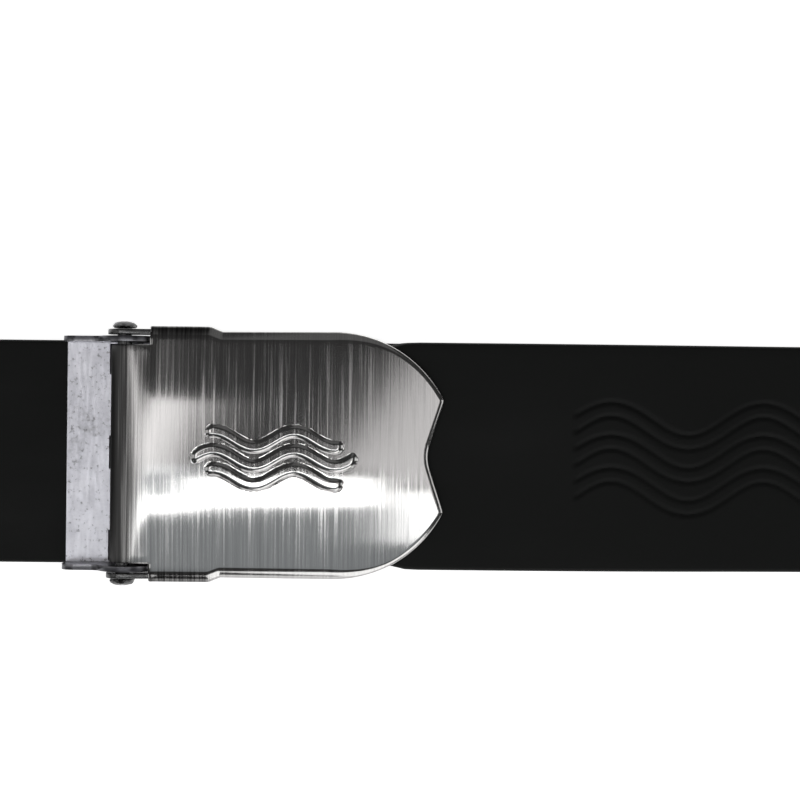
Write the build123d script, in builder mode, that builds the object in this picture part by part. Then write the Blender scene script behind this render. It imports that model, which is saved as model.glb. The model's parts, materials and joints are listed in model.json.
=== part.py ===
from build123d import *
import os
from math import acos, atan, cos, degrees, radians, sin, sqrt

os.makedirs("parts", exist_ok=True)

# A rubber dive weight belt with a stainless cam buckle, closed and laid flat on its inner side.
# X runs along the strap, Y across it and Z up, out of the front of the buckle. Millimetres.

# Strap; CUT_CLEAR is how far a cut or a search reaches past a face.
STRAP_WIDTH = 50.0
STRAP_THICK = 3.4
LAYER_GAP = 0.5
LAYER_STEP = STRAP_THICK + LAYER_GAP
GROUND_Z = STRAP_THICK / 2
MAIN_Z = GROUND_Z + LAYER_STEP
END_X = 210.0
END_RADIUS = 20.0
FOOT_RADIUS = 80.0
TAIL_RADIUS = 70.0
TAIL_TURN = 33.0
TAIL_END = 14.0
TAIL_CORNER = 12.0
STRAP_HALF = STRAP_WIDTH / 2
CUT_CLEAR = 0.1

# Buckle frame, bent from sheet
SHEET = 1.2
FRAME_HALF = 25.7
FRAME_LEFT = -74.3
FRAME_RIGHT = -5.0
PLATE_CLEAR = 0.3
PLATE_Z = MAIN_Z + STRAP_THICK / 2 + PLATE_CLEAR
WINDOW_LEFT = -64.9
WINDOW_RIGHT = -53.5
WINDOW_HALF = 24.2
TAB_DEPTH = 1.3
TAB_WIDTH = 13.7
TAB_Y = 10.55
TAB_CHAMFER = 0.9
SLOT_LEFT = -22.3
SLOT_RIGHT = -17.6
BAR_ROUND = 0.5
SHOULDER_Z = 16.4
REAR_WALL_Z = 12.0
EAR_RADIUS = 6.4
EAR_SHIFT_X = 0.5
EAR_SHIFT_Z = -2.4
FOLD_ROUND = 1.08
LEFT_CORNER_ROUND = 3.0
REAR_CORNER_ROUND = 2.5
EAR_LEFT_ROUND = 2.0
EAR_RIGHT_ROUND = 2.5

# Hinge
PIN_X = -60.4
PIN_Z = 16.8
PIN_RADIUS = 1.6
PIN_HOLE = 1.62
PIN_HEAD_RADIUS = 2.6
PIN_HEAD_FROM = 27.4
PIN_HEAD_TO = 28.9
PIN_HEAD_ROUND = 0.6
PIN_OVERLAP = 0.2

# Lever, bent from the same sheet; u is measured from the hinge axis along X
CURL_BORE = 1.66
CURL_RADIUS = CURL_BORE + SHEET / 2
CURL_FROM = 215.0
CURL_TO = 150.0
BARREL_HALF = 23.8
LIP_LENGTH = 5.2
TOOTH_PITCH = 2.4
TOOTH_WIDTH = 1.6
TOOTH_DEPTH = 1.0
FACE_TOP = 20.8
FACE_BOW_X = 900.0
FACE_BOW_Y = 290.0
WING_FROM = 5.9
WING_TO = 19.1
WING_HALF = 28.2
WAIST_U = 21.6
WAIST_HALF = 27.2
ROUND_FROM = 46.0
ROUND_HALF = 27.4
ROUND_RADIUS = 27.4
VALLEY_U = 66.5
FISHTAIL_SLOPE = 0.325
HORN_FILLET = 2.5
VALLEY_FILLET = 9.0
SKIRT_INNER = 26.0
SKIRT_OUTER = 27.2
LUG_RADIUS = 3.4
SKIRT_TO = 19.5
SKIRT_SLANT = 2.0
SKIRT_END_LOW = -1.0
SKIRT_END_TOP = 1.6
SKIRT_TOP = 2.0
SHOULDER_JOIN = 1.0
BLANK_MARGIN = 4.0
BLANK_DEPTH = 12.0
BLANK_ARC = 12.0

# Where the strap runs
BAR_WRAP = 2.6
UPPER_Z = MAIN_Z + 2 * BAR_WRAP
WRAP_X = SLOT_RIGHT + LAYER_GAP + CUT_CLEAR
FOLD_Z = MAIN_Z + LAYER_STEP
FOLD_END_X = 27.0
FOLD_DOWN_FROM = -3.0
FOLD_DOWN_TO = 7.0
CAM_RISE_FROM = -64.4
CAM_RISE_TO = -52.6
COVER_RISE_FROM = -42.0
COVER_RISE_TO = -22.0
COVER_Z = 14.5
TAIL_DOWN_FROM = 22.0
TAIL_DOWN_TO = 115.0
SQUEEZE_HALF = 24.0
SQUEEZE_BELOW = 0.15
SQUEEZE_PAST = 1.0
SQUEEZE_EASE_TO = 8.0
SQUEEZE_OUT = 2.0

# Rivets through the folded end
RIVET_X = 15.0
RIVET_Y = 13.0
RIVET_HOLE = 2.5
POST_RADIUS = 2.4
POST_BORE = 1.55
CAP_PIN = 1.5
CAP_PIN_LENGTH = 3.6
HEAD_RADIUS = 4.9
RECESS_RADIUS = 5.1
RECESS_DEPTH = 1.0
HEAD_THICK = 0.9
HEAD_ROUND = 0.54
FLANGE_SUNK = 0.05

# Each end of the belt turns over END_RADIUS and comes down to the lower layer on a long foot.
foot_turn = degrees(acos(1 - (2 * END_RADIUS - LAYER_STEP) / (END_RADIUS + FOOT_RADIUS)))
foot_x = END_X - (END_RADIUS + FOOT_RADIUS) * sin(radians(foot_turn))


def run(length):
    """A straight stretch of the strap."""
    return [(length, 0.0)]


def bend(radius, turn):
    """A round stretch of the strap; it turns left for a positive angle."""
    return [(radius * radians(abs(turn)), turn)]


def shift(length, side):
    """Two equal bends that move the strap sideways, to the left for a positive side."""
    turn = 2 * degrees(atan(abs(side) / length))
    radius = length / (2 * sin(radians(turn)))
    turn = turn if side > 0 else -turn
    return bend(radius, turn) + bend(radius, -turn)


def draw_face(route, start, heading, aside):
    """Draws one face of the strap, set aside to the left of its middle line, and returns its ends."""
    across = radians(heading + 90)
    first = (start[0] + aside * cos(across), start[1] + aside * sin(across))
    point = first
    for length, turn in route:
        along = radians(heading)
        if turn == 0:
            edge = Line(point, (point[0] + length * cos(along), point[1] + length * sin(along)))
        else:
            side = aside if turn > 0 else -aside
            radius = length / radians(abs(turn)) - side
            edge = JernArc(point, (cos(along), sin(along)), radius, turn)
        finish = edge @ 1
        point = (finish.X, finish.Y)
        heading += turn
    return first, point


# The strap, from the end that is riveted back on itself to the free end, seen from the front.
strap_route = run(FOLD_END_X - FOLD_DOWN_TO)
strap_route += shift(FOLD_DOWN_TO - FOLD_DOWN_FROM, FOLD_Z - UPPER_Z)
strap_route += run(FOLD_DOWN_FROM - WRAP_X)
strap_route += bend(BAR_WRAP, 180)
strap_route += run(foot_x - WRAP_X)
strap_route += bend(FOOT_RADIUS, foot_turn)
strap_route += bend(END_RADIUS, -180 - foot_turn)
strap_route += run(2 * END_X)
strap_route += bend(END_RADIUS, -180 - foot_turn)
strap_route += bend(FOOT_RADIUS, foot_turn)
strap_route += run(foot_x + CAM_RISE_FROM)
strap_route += shift(CAM_RISE_TO - CAM_RISE_FROM, UPPER_Z - MAIN_Z)
strap_route += run(COVER_RISE_FROM - CAM_RISE_TO)
strap_route += shift(COVER_RISE_TO - COVER_RISE_FROM, COVER_Z - UPPER_Z)
strap_route += run(TAIL_DOWN_FROM - COVER_RISE_TO)
strap_route += shift(TAIL_DOWN_TO - TAIL_DOWN_FROM, FOLD_Z - COVER_Z)
strap_route += run(foot_x - TAIL_DOWN_TO)
strap_route += bend(TAIL_RADIUS, TAIL_TURN)
strap_length = sum(length for length, turn in strap_route) + TAIL_END
under_z = MAIN_Z - STRAP_THICK / 2

with BuildPart() as strap:
    with BuildSketch(Plane.XZ) as strap_side:
        with BuildLine() as strap_edge:
            left_from, left_to = draw_face(strap_route, (FOLD_END_X, FOLD_Z), 180, STRAP_THICK / 2)
            right_from, right_to = draw_face(strap_route, (FOLD_END_X, FOLD_Z), 180, -STRAP_THICK / 2)
            Line(left_from, right_from)
            Line(left_to, right_to)
        make_face()
    extrude(amount=STRAP_HALF, both=True)
    # The free end is straight for a short way and has round corners.
    tail_plane = Plane(
        origin=((left_to[0] + right_to[0]) / 2, 0, (left_to[1] + right_to[1]) / 2),
        x_dir=(cos(radians(TAIL_TURN)), 0, sin(radians(TAIL_TURN))),
        z_dir=(-sin(radians(TAIL_TURN)), 0, cos(radians(TAIL_TURN))),
    )
    with BuildSketch(tail_plane) as tail:
        with Locations((TAIL_END / 2, 0)):
            Rectangle(TAIL_END, STRAP_WIDTH)
        tail_corners = tail.vertices().group_by(Axis.X)[-1]
        fillet(tail_corners, radius=TAIL_CORNER)
    extrude(amount=STRAP_THICK / 2, both=True)
    # The frame's side walls squeeze the strap a little where it runs between them.
    with BuildSketch(Plane.XY.offset(PLATE_Z - SQUEEZE_BELOW)) as squeeze:
        with BuildLine() as squeeze_edge:
            Polyline(
                (CAM_RISE_FROM, SQUEEZE_HALF),
                (FRAME_RIGHT + SQUEEZE_PAST, SQUEEZE_HALF),
                (FRAME_RIGHT + SQUEEZE_EASE_TO, STRAP_HALF + 2 * CUT_CLEAR),
                (FRAME_RIGHT + SQUEEZE_EASE_TO, STRAP_HALF + SQUEEZE_OUT),
                (CAM_RISE_FROM, STRAP_HALF + SQUEEZE_OUT),
                close=True,
            )
        make_face()
        mirror(about=Plane.XZ)
    extrude(amount=COVER_Z, mode=Mode.SUBTRACT)
    # Two rivet holes through the folded end, with a recess on the inner side for each rivet's flange.
    with BuildSketch(Plane.XY.offset(under_z - CUT_CLEAR)) as rivet_holes:
        with Locations((RIVET_X, RIVET_Y), (RIVET_X, -RIVET_Y)):
            Circle(RIVET_HOLE)
    extrude(amount=2 * LAYER_STEP, mode=Mode.SUBTRACT)
    with BuildSketch(Plane.XY.offset(under_z - CUT_CLEAR)) as rivet_recesses:
        with Locations((RIVET_X, RIVET_Y), (RIVET_X, -RIVET_Y)):
            Circle(RECESS_RADIUS)
    extrude(amount=RECESS_DEPTH + CUT_CLEAR, mode=Mode.SUBTRACT)

strap.part.label = "strap"
export_step(strap.part, "parts/strap.step")

# The buckle frame: a bottom plate with a window and a slot, and a side wall with an ear along each edge.
ear_x = PIN_X + EAR_SHIFT_X
ear_z = PIN_Z + EAR_SHIFT_Z

with BuildPart() as buckle_frame:
    with BuildSketch(Plane.XY.offset(PLATE_Z)) as plate:
        with BuildLine() as plate_edge:
            Polyline(
                (FRAME_LEFT, -FRAME_HALF),
                (FRAME_RIGHT, -FRAME_HALF),
                (FRAME_RIGHT, FRAME_HALF),
                (FRAME_LEFT, FRAME_HALF),
                close=True,
            )
        make_face()
        with Locations(((WINDOW_LEFT + WINDOW_RIGHT) / 2, 0)):
            Rectangle(WINDOW_RIGHT - WINDOW_LEFT, 2 * WINDOW_HALF, mode=Mode.SUBTRACT)
        with Locations(((SLOT_LEFT + SLOT_RIGHT) / 2, 0)):
            Rectangle(SLOT_RIGHT - SLOT_LEFT, 2 * WINDOW_HALF, mode=Mode.SUBTRACT)
    extrude(amount=SHEET)
    # Two tabs stand into the window from its left edge.
    with BuildSketch(Plane.XY.offset(PLATE_Z)) as tabs:
        with Locations((WINDOW_LEFT, TAB_Y), (WINDOW_LEFT, -TAB_Y)):
            Rectangle(2 * TAB_DEPTH, TAB_WIDTH)
        tab_corners = tabs.vertices().group_by(Axis.X)[-1]
        chamfer(tab_corners, length=TAB_CHAMFER)
    extrude(amount=SHEET)
    bar_edges = buckle_frame.edges().filter_by(Axis.Y).filter_by_position(
        Axis.X, SLOT_RIGHT - CUT_CLEAR, SLOT_RIGHT + CUT_CLEAR
    )
    fillet(bar_edges, radius=BAR_ROUND)
    with BuildSketch(Plane.XZ.offset(-FRAME_HALF)) as wall:
        with BuildLine() as wall_edge:
            Polyline(
                (FRAME_LEFT, PLATE_Z),
                (FRAME_RIGHT, PLATE_Z),
                (FRAME_RIGHT, REAR_WALL_Z),
                (ear_x, REAR_WALL_Z),
                (ear_x, SHOULDER_Z),
                (FRAME_LEFT, SHOULDER_Z),
                close=True,
            )
        make_face()
        with Locations((ear_x, ear_z)):
            Circle(EAR_RADIUS)
        left_corner = wall.vertices().sort_by_distance((FRAME_LEFT, SHOULDER_Z))[0]
        fillet(left_corner, radius=LEFT_CORNER_ROUND)
        rear_corner = wall.vertices().sort_by_distance((FRAME_RIGHT, REAR_WALL_Z))[0]
        fillet(rear_corner, radius=REAR_CORNER_ROUND)
        ear_left = wall.vertices().sort_by_distance((ear_x - EAR_RADIUS, SHOULDER_Z))[0]
        fillet(ear_left, radius=EAR_LEFT_ROUND)
        ear_right = wall.vertices().sort_by_distance((ear_x + EAR_RADIUS, REAR_WALL_Z))[0]
        fillet(ear_right, radius=EAR_RIGHT_ROUND)
        with Locations((PIN_X, PIN_Z)):
            Circle(PIN_HOLE, mode=Mode.SUBTRACT)
    extrude(amount=SHEET)
    mirror(about=Plane.XZ)
    # The sheet is bent round where the plate meets each wall.
    fold_edges = buckle_frame.edges().filter_by(Axis.X).filter_by_position(
        Axis.Z, PLATE_Z - CUT_CLEAR, PLATE_Z + CUT_CLEAR
    )
    outer_folds = fold_edges.sort_by(lambda edge: -abs(edge.center().Y))[:2]
    fillet(outer_folds, radius=FOLD_ROUND)

buckle_frame.part.label = "buckle_frame"
export_step(buckle_frame.part, "parts/buckle_frame.step")

# The hinge pin, headed over outside the lever's lugs at both ends.
with BuildPart() as hinge_pin:
    with BuildSketch(Plane.XZ) as pin_section:
        with Locations((PIN_X, PIN_Z)):
            Circle(PIN_RADIUS)
    extrude(amount=PIN_HEAD_FROM + PIN_OVERLAP, both=True)
    with BuildSketch(Plane.XZ.offset(-PIN_HEAD_TO)) as head_section:
        with Locations((PIN_X, PIN_Z)):
            Circle(PIN_HEAD_RADIUS)
    extrude(amount=PIN_HEAD_TO - PIN_HEAD_FROM)
    head_rim = hinge_pin.faces().sort_by(Axis.Y)[-1].edges()
    fillet(head_rim, radius=PIN_HEAD_ROUND)
    mirror(about=Plane.XZ)

hinge_pin.part.label = "hinge_pin"
export_step(hinge_pin.part, "parts/hinge_pin.step")

# The lever: one sheet that is curled round the pin, with a biting lip under the curl and a bowed face.
lip_heading = CURL_FROM - 90
lip_tip = (
    PIN_X + CURL_RADIUS * cos(radians(CURL_FROM)) - LIP_LENGTH * cos(radians(lip_heading)),
    PIN_Z + CURL_RADIUS * sin(radians(CURL_FROM)) - LIP_LENGTH * sin(radians(lip_heading)),
)
face_mid_z = FACE_TOP - SHEET / 2
shoulder_turn = CURL_TO - 90
shoulder_rise = face_mid_z - PIN_Z - CURL_RADIUS * sin(radians(CURL_TO))
shoulder_radius = shoulder_rise / (1 - cos(radians(shoulder_turn)))
lever_route = run(LIP_LENGTH)
lever_route += bend(CURL_RADIUS, CURL_TO - CURL_FROM)
lever_route += bend(shoulder_radius, -shoulder_turn)
lever_route += run(SHOULDER_JOIN)
face_from = shoulder_radius * sin(radians(shoulder_turn)) + CURL_RADIUS * cos(radians(CURL_TO))
# The round part of the outline meets the fishtail at a horn on each side.
half_chord = FISHTAIL_SLOPE * (VALLEY_U - ROUND_FROM) + ROUND_RADIUS - ROUND_HALF
steepness = 1 + FISHTAIL_SLOPE**2
reach = (VALLEY_U - ROUND_FROM) ** 2 + (ROUND_RADIUS - ROUND_HALF) ** 2 - ROUND_RADIUS**2
horn_y = (sqrt(half_chord**2 - steepness * reach) - half_chord) / steepness
horn_u = VALLEY_U + FISHTAIL_SLOPE * horn_y
round_turn = degrees(acos((horn_y + ROUND_RADIUS - ROUND_HALF) / ROUND_RADIUS))
bow_axis = Axis((0, 0, face_mid_z - FACE_BOW_Y), (1, 0, 0))

with BuildPart() as lever:
    # The face is bowed along and across: a long arc turned about an axis far below.
    with BuildSketch(Plane.XZ) as bow:
        with Locations((PIN_X + face_from, face_mid_z - FACE_BOW_X)):
            Circle(FACE_BOW_X + SHEET / 2)
            Circle(FACE_BOW_X - SHEET / 2, mode=Mode.SUBTRACT)
        with Locations((PIN_X + face_from + horn_u / 2, FACE_TOP)):
            Rectangle(horn_u + BLANK_MARGIN, BLANK_DEPTH, mode=Mode.INTERSECT)
    revolve(axis=bow_axis, revolution_arc=BLANK_ARC)
    mirror(about=Plane.XZ)
    with BuildSketch(Plane.XY) as outline:
        with BuildLine() as outline_edge:
            Polyline(
                (PIN_X + VALLEY_U, 0),
                (PIN_X + face_from, 0),
                (PIN_X + face_from, BARREL_HALF),
                (PIN_X + WING_FROM, BARREL_HALF),
                (PIN_X + WING_FROM, WING_HALF),
                (PIN_X + WING_TO, WING_HALF),
                (PIN_X + WAIST_U, WAIST_HALF),
                (PIN_X + ROUND_FROM, ROUND_HALF),
            )
            JernArc((PIN_X + ROUND_FROM, ROUND_HALF), (1, 0), ROUND_RADIUS, -round_turn)
            Line((PIN_X + horn_u, horn_y), (PIN_X + VALLEY_U, 0))
        make_face()
        mirror(about=Plane.XZ)
        horn = outline.vertices().sort_by_distance((PIN_X + horn_u, horn_y))[0]
        fillet(horn, radius=HORN_FILLET)
        other_horn = outline.vertices().sort_by_distance((PIN_X + horn_u, -horn_y))[0]
        fillet(other_horn, radius=HORN_FILLET)
        valley = outline.vertices().sort_by_distance((PIN_X + VALLEY_U, 0))[0]
        fillet(valley, radius=VALLEY_FILLET)
    extrude(amount=2 * FACE_TOP, mode=Mode.INTERSECT)
    # The lip, the curl and the shoulder that rises into the face.
    with BuildSketch(Plane.XZ) as curl:
        with BuildLine() as curl_edge:
            outer_from, outer_to = draw_face(lever_route, lip_tip, lip_heading, SHEET / 2)
            inner_from, inner_to = draw_face(lever_route, lip_tip, lip_heading, -SHEET / 2)
            Line(outer_from, inner_from)
            Line(outer_to, inner_to)
        make_face()
    extrude(amount=BARREL_HALF, both=True)
    # Teeth along the lip's edge.
    tooth_count = int(2 * BARREL_HALF / TOOTH_PITCH)
    lip_low_z = lip_tip[1] - SHEET
    with BuildSketch(Plane.YZ.offset(PIN_X - LIP_LENGTH)) as teeth:
        with GridLocations(TOOTH_PITCH, 1, tooth_count, 1):
            with BuildLine() as tooth_edge:
                Polyline(
                    (-TOOTH_WIDTH / 2, lip_low_z),
                    (TOOTH_WIDTH / 2, lip_low_z),
                    (0, lip_low_z + SHEET + TOOTH_DEPTH),
                    close=True,
                )
            make_face()
    extrude(amount=2 * LIP_LENGTH, mode=Mode.SUBTRACT)
    # A skirt under each wing ends in a lug round the pin.
    with BuildSketch(Plane.XZ.offset(-SKIRT_OUTER)) as skirt:
        with BuildLine() as skirt_edge:
            Polyline(
                (PIN_X, PIN_Z - LUG_RADIUS),
                (PIN_X + SKIRT_TO - SKIRT_SLANT, PIN_Z + SKIRT_END_LOW),
                (PIN_X + SKIRT_TO, PIN_Z + SKIRT_END_TOP),
                (PIN_X + WING_FROM, PIN_Z + SKIRT_TOP),
                (PIN_X, PIN_Z + SKIRT_TOP),
                close=True,
            )
        make_face()
        with Locations((PIN_X, PIN_Z)):
            Circle(LUG_RADIUS)
            Circle(CURL_BORE, mode=Mode.SUBTRACT)
    extrude(amount=SKIRT_OUTER - SKIRT_INNER)
    mirror(about=Plane.XZ)

lever.part.label = "lever"
export_step(lever.part, "parts/lever.step")

# Two rivets hold the folded end: a flanged post from the inner side and a headed cap pressed into it.
post_z = under_z + FLANGE_SUNK
cap_z = FOLD_Z + STRAP_THICK / 2

for number, rivet_y in enumerate((RIVET_Y, -RIVET_Y), start=1):
    with BuildPart() as rivet_post:
        with BuildSketch(Plane.XY.offset(post_z)) as flange:
            with Locations((RIVET_X, rivet_y)):
                Circle(HEAD_RADIUS)
        extrude(amount=HEAD_THICK)
        with BuildSketch(Plane.XY.offset(post_z)) as shank:
            with Locations((RIVET_X, rivet_y)):
                Circle(POST_RADIUS)
        extrude(amount=cap_z - post_z)
        with BuildSketch(Plane.XY.offset(cap_z)) as post_bore:
            with Locations((RIVET_X, rivet_y)):
                Circle(POST_BORE)
        extrude(amount=-LAYER_STEP, mode=Mode.SUBTRACT)
    rivet_post.part.label = f"rivet_post_{number}"
    export_step(rivet_post.part, f"parts/rivet_post_{number}.step")

    with BuildPart() as rivet_cap:
        with BuildSketch(Plane.XY.offset(cap_z)) as cap_head:
            with Locations((RIVET_X, rivet_y)):
                Circle(HEAD_RADIUS)
        extrude(amount=HEAD_THICK)
        cap_rim = rivet_cap.edges().group_by(Axis.Z)[-1]
        fillet(cap_rim, radius=HEAD_ROUND)
        with BuildSketch(Plane.XY.offset(cap_z)) as cap_pin:
            with Locations((RIVET_X, rivet_y)):
                Circle(CAP_PIN)
        extrude(amount=-CAP_PIN_LENGTH)
    rivet_cap.part.label = f"rivet_cap_{number}"
    export_step(rivet_cap.part, f"parts/rivet_cap_{number}.step")

print(f"strap length {strap_length:.0f} mm, horns at u {horn_u:.1f}, y {horn_y:.1f}")
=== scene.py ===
"""Looks of the dive weight belt: rubber strap, stamped steel buckle lever, bent frame, peened hinge pin."""

import json
import math

import bmesh
import bpy
import numpy as np
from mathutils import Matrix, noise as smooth_noise
from mathutils import Quaternion, Vector


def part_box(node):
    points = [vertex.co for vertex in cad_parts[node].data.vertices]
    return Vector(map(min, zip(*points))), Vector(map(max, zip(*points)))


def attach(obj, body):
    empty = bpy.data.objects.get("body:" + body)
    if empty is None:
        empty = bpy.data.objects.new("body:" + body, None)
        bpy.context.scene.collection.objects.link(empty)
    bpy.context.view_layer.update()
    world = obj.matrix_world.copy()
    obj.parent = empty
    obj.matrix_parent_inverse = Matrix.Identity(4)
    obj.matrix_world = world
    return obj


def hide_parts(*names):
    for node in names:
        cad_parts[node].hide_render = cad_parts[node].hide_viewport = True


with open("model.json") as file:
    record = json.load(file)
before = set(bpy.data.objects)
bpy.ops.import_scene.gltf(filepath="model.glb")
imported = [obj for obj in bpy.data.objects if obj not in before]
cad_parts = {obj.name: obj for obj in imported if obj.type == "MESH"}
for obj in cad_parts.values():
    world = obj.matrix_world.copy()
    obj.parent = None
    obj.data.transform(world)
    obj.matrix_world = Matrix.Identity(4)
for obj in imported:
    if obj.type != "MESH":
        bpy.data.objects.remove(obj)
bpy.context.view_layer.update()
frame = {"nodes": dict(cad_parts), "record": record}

MM = 0.001
hinge = frame["record"]["behaviour"]["joints"][0]
PIN_X = hinge["pos_m"][0] / MM
PIN_Z = hinge["pos_m"][2] / MM
frame_low, frame_high = (Vector(corner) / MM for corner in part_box("buckle_frame"))
pin_low, pin_high = (Vector(corner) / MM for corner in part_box("hinge_pin"))
lever_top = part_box("lever")[1][2] / MM


# ---------------------------------------------------------------- camera, floor and light

CAMERA_LENS = 80.6
CAMERA_PLACE = (0.0, 0.0123, 0.409)
CAMERA_TURN = 0.6
FLOOR_REACH = 2.5
FLOOR_Z = -0.0001
SKY_STRENGTH = 0.04
WHITE = (1.0, 1.0, 1.0)
COOL = (0.90, 0.96, 1.0)
WARM = (1.0, 0.985, 0.99)

# A soft box points this share of the way out from the belt's middle to the place under the box.
AIM_SHARE = 0.1

# Each soft box: name, place, size, turn, brightness against a white surface, colour.
# The size is first across the line from the box to the belt and then along it, before the turn.
SOFT_BOXES = [
    ("key_strip", (-0.02, -0.1335, 1.2), (0.25, 0.075), 9.0, 4.2, WHITE),
    ("key_tail", (-0.215, -0.175, 1.2), (0.14, 0.042), 59.0, 3.4, WHITE),
    ("key_corner", (-0.46, -0.23, 1.2), (0.30, 0.22), 63.0, 1.4, WHITE),
    ("key_end", (0.25, -0.202, 1.2), (0.21, 0.142), -51.0, 2.0, WHITE),
    ("near_panel", (0.0, -0.33, 1.2), (0.70, 0.32), 0.0, 0.26, COOL),
    ("left_panel", (-0.342, 0.040, 1.2), (0.205, 0.36), -5.0, 1.45, WARM),
    ("left_low_panel", (-0.22, -0.112, 1.2), (0.16, 0.09), 63.0, 0.5, COOL),
    ("left_high_panel", (-0.42, 0.20, 1.2), (0.18, 0.36), 25.0, 0.42, WARM),
    ("left_inner_fill", (-0.72, 0.0, 1.1), (0.34, 0.8), 0.0, 0.2, WHITE),
    ("left_outer_fill", (-1.2, 0.0, 0.95), (0.6, 0.9), 0.0, 0.14, WHITE),
    ("right_panel", (0.271, 0.042, 1.2), (0.36, 0.32), -31.0, 0.8, WARM),
    ("far_panel", (0.20, 1.0, 0.9), (0.58, 1.0), 0.0, 0.08, WHITE),
    ("near_rim_panel", (0.34, -0.92, 0.95), (0.86, 0.6), 14.0, 1.4, WHITE),
    ("left_side", (-1.7, 0.0, 0.6), (0.7, 1.6), 0.0, 0.35, WHITE),
    ("right_side", (1.7, 0.0, 0.6), (0.7, 1.6), 0.0, 0.8, WHITE),
    ("near_side", (0.0, -1.7, 0.6), (1.6, 0.7), 0.0, 0.8, WHITE),
    ("far_side", (0.0, 1.9, 0.4), (1.8, 0.5), 0.0, 0.6, WHITE),
    ("near_left", (-1.3, -1.3, 0.6), (0.7, 1.0), 45.0, 0.8, WHITE),
    ("near_right", (1.3, -1.3, 0.6), (0.7, 1.0), -45.0, 0.8, WHITE),
    ("far_left", (-1.4, 1.4, 0.4), (0.5, 1.0), -45.0, 0.6, WHITE),
    ("far_right", (1.4, 1.4, 0.4), (0.5, 1.0), 45.0, 0.6, WHITE),
]


def make_camera():
    """Looks straight down on the buckle, a little turned about its own axis."""
    data = bpy.data.cameras.new("camera")
    data.lens = CAMERA_LENS
    data.sensor_width = 36.0
    data.clip_start = 0.01
    data.clip_end = 20.0
    camera = bpy.data.objects.new("camera", data)
    camera.location = CAMERA_PLACE
    camera.rotation_euler = (0.0, 0.0, math.radians(CAMERA_TURN))
    bpy.context.collection.objects.link(camera)
    bpy.context.scene.camera = camera


def area_light(name, place, size, turn, brightness, colour):
    """A rectangular soft box at a place, facing the belt."""
    data = bpy.data.lights.new(name, "AREA")
    data.shape = "RECTANGLE"
    data.size, data.size_y = size
    data.energy = math.pi * size[0] * size[1] * brightness
    data.color = colour
    light = bpy.data.objects.new(name, data)
    light.location = place
    aim = Vector((place[0] * AIM_SHARE, place[1] * AIM_SHARE, 0.0))
    facing = (aim - Vector(place)).to_track_quat("-Z", "Y")
    spin = Quaternion((0.0, 0.0, 1.0), math.radians(turn))
    light.rotation_euler = (facing @ spin).to_euler()
    light.visible_camera = False
    bpy.context.collection.objects.link(light)


def make_stage():
    """A pale floor, a dim sky and a few soft boxes."""
    mesh = bpy.data.meshes.new("floor")
    corners = [(x * FLOOR_REACH, y * FLOOR_REACH, FLOOR_Z) for x, y in ((-1, -1), (1, -1), (1, 1), (-1, 1))]
    mesh.from_pydata(corners, [], [(0, 1, 2, 3)])
    floor = bpy.data.objects.new("floor", mesh)
    bpy.context.collection.objects.link(floor)
    paint = bpy.data.materials.new("floor_paint")
    paint.use_nodes = True
    shader = paint.node_tree.nodes["Principled BSDF"]
    shader.inputs["Base Color"].default_value = (0.9, 0.9, 0.9, 1.0)
    shader.inputs["Roughness"].default_value = 0.9
    shader.inputs["Specular IOR Level"].default_value = 0.1
    shader.inputs["Emission Color"].default_value = (*WHITE, 1.0)
    shader.inputs["Emission Strength"].default_value = 0.9
    mesh.materials.append(paint)

    world = bpy.data.worlds.new("sky")
    world.use_nodes = True
    background = world.node_tree.nodes["Background"]
    background.inputs["Color"].default_value = (*WHITE, 1.0)
    background.inputs["Strength"].default_value = SKY_STRENGTH
    bpy.context.scene.world = world

    for box in SOFT_BOXES:
        area_light(*box)
    bpy.context.scene.view_settings.view_transform = "Standard"


# ---------------------------------------------------------------- mesh helpers


def add_piece(name, points, faces, material, coordinates=None, smooth_angle=40.0):
    """A mesh object from points in millimetres; coordinates is one UV pair for each point."""
    mesh = bpy.data.meshes.new(name)
    mesh.from_pydata((np.asarray(points) * MM).tolist(), [], faces)
    mesh.validate()
    if coordinates is not None:
        layer = mesh.uv_layers.new(name="along")
        corner_points = np.empty(len(mesh.loops), dtype=np.int64)
        mesh.loops.foreach_get("vertex_index", corner_points)
        layer.data.foreach_set("uv", (np.asarray(coordinates)[corner_points] * MM).ravel())
    piece = bpy.data.objects.new(name, mesh)
    bpy.context.collection.objects.link(piece)
    mesh.materials.append(material)
    outward = bmesh.new()
    outward.from_mesh(mesh)
    bmesh.ops.recalc_face_normals(outward, faces=outward.faces)
    outward.to_mesh(mesh)
    outward.free()
    mesh.shade_smooth()
    mesh.set_sharp_from_angle(angle=math.radians(smooth_angle))
    return piece


def tube_faces(rings, size):
    """Quads between successive closed rings of points, and a face over each end."""
    faces = []
    for ring in range(rings - 1):
        for step in range(size):
            after = (step + 1) % size
            here = ring * size
            there = here + size
            faces.append((here + step, here + after, there + after, there + step))
    faces.append(tuple(range(size)))
    faces.append(tuple(range((rings - 1) * size, rings * size)))
    return faces


def smooth_step(value):
    """Goes from 0 to 1 as value does, level at both ends."""
    value = np.clip(value, 0.0, 1.0)
    return value * value * (3.0 - 2.0 * value)


def edge_drop(distance, radius):
    """How far a surface falls at a distance from its rim, for a rim rounded to radius."""
    inward = np.clip(radius - distance, 0.0, radius)
    return radius - np.sqrt(radius**2 - inward**2)


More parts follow.
